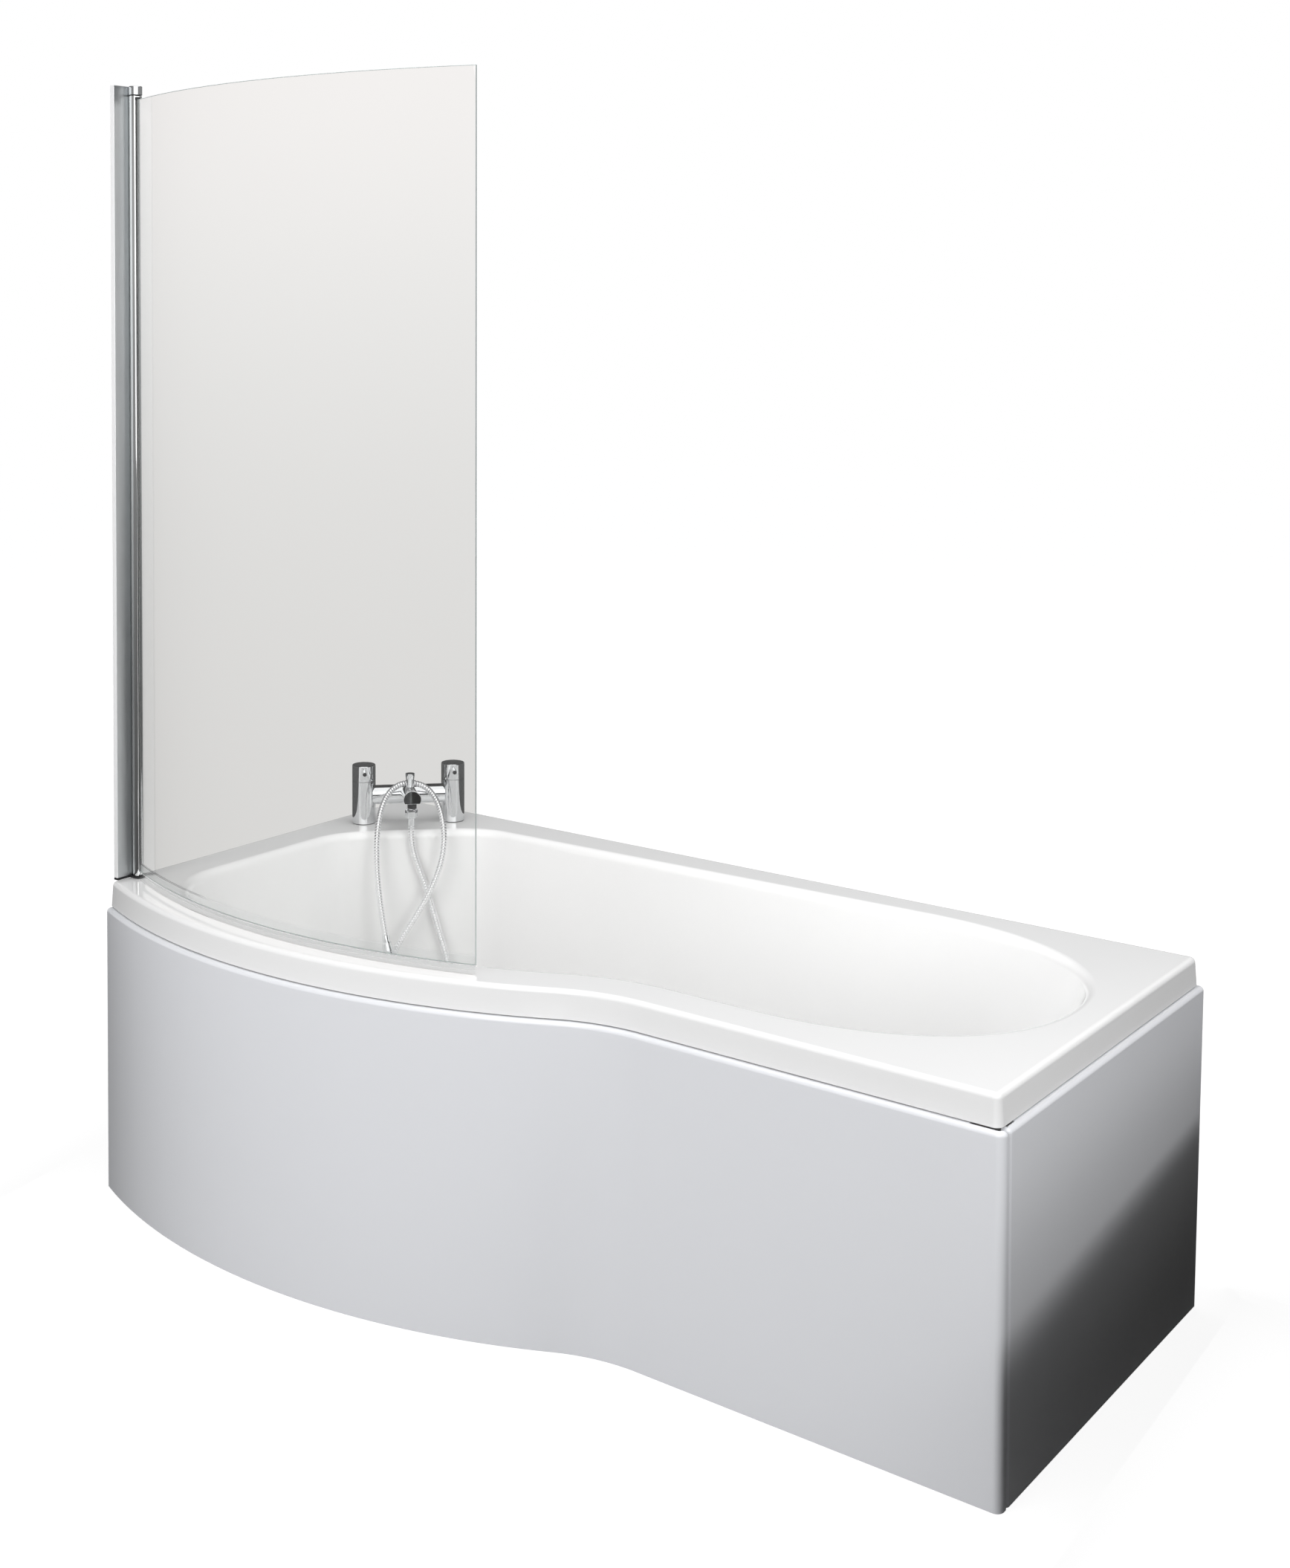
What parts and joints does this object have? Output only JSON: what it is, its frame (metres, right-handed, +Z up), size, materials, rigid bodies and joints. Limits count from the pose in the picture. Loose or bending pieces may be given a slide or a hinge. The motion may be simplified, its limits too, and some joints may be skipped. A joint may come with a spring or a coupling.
{
  "type": "b-shaped shower bath",
  "caption": "Shower bath with a bulged shower end, moulded panels, a curved hinged screen, a corner mixer with hose and handset, and a sprung waste.",
  "frame": {"origin": "middle of the base of the bounding box, on the floor", "axes": "+X from the shower wall to the foot end, +Y from the room to the back wall, +Z up"},
  "size_m": [1.7086, 0.9035, 1.9915],
  "materials": {
    "acrylic": "gloss white moulded acrylic",
    "panel": "gloss white moulded panel",
    "chrome": "polished chrome plate",
    "silver": "polished and satin silver anodised",
    "steel": "zinc plated",
    "timber": "sawn softwood and chipboard",
    "black_plastic": "satin black moulding",
    "rubber": "matt",
    "clear_plastic": "clear extruded vinyl",
    "glass": "clear toughened glass",
    "brass": "turned",
    "cartridge": "moulded cartridge"
  },
  "bodies": {
    "bath": {"bath_shell": "acrylic", "baseboard": "timber", "rim_battens": "timber", "cradle_rail_shower": "steel", "cradle_rail_foot": "steel", "foot_rods": "steel", "foot_nuts": "steel", "foot_pads": "black_plastic", "rail_screws": "steel", "wall_brackets": "steel", "front_panel": "panel", "end_panel": "panel", "floor_battens": "timber", "panel_screws": "steel", "wall_profile": "silver", "hinge_top_cap": "chrome", "hinge_bottom_cap": "black_plastic", "hinge_pins": "steel", "cap_screws": "steel", "mixer_body": "chrome", "headworks": "cartridge", "aerator": "black_plastic", "outlet_nipple": "chrome", "tap_tails": "brass", "tap_backnuts": "brass", "tap_washers": "rubber", "hose_nut": "chrome", "upper_ferrule": "chrome", "shower_hose": "chrome", "lower_ferrule": "chrome", "handset_cone_nut": "chrome", "handset_body": "chrome", "handset_faceplate": "panel", "waste_flange": "chrome", "waste_body": "chrome", "waste_nut": "black_plastic", "waste_washer": "rubber", "overflow_rose": "chrome", "overflow_elbow": "black_plastic", "overflow_pipe": "black_plastic"},
    "screen": {"hinge_tube": "silver", "hinge_bushes": "black_plastic", "screen_glass": "glass", "glass_gasket": "clear_plastic", "gasket_cap": "black_plastic", "bottom_seal": "clear_plastic"},
    "hot_tap": {"hot_handle": "chrome", "hot_pin": "chrome", "hot_spindle": "steel"},
    "cold_tap": {"cold_handle": "chrome", "cold_pin": "chrome", "cold_spindle": "steel"},
    "diverter": {"diverter_knob": "chrome", "diverter_rod": "steel"},
    "plug": {"waste_plug": "chrome", "plug_seal": "rubber"}
  },
  "joints": [
    {"name": "screen_swing", "type": "hinge", "parent": "bath", "child": "screen", "pos_m": [-0.83225, -0.29923, 1.2], "axis": [0, 0, 1], "range_deg": [-75, 60]},
    {"name": "hot_turn", "type": "hinge", "parent": "bath", "child": "hot_tap", "pos_m": [-0.78289, 0.24911, 0.65], "axis": [0, 0, 1], "range_deg": [-90, 0]},
    {"name": "cold_turn", "type": "hinge", "parent": "bath", "child": "cold_tap", "pos_m": [-0.65561, 0.37639, 0.65], "axis": [0, 0, 1], "range_deg": [0, 90]},
    {"name": "diverter_pull", "type": "slide", "parent": "bath", "child": "diverter", "axis": [0, 0, 1], "range_m": [0, 0.008]},
    {"name": "plug_lift", "type": "slide", "parent": "bath", "child": "plug", "axis": [0, 0, 1], "range_m": [0, 0.008]}
  ]
}
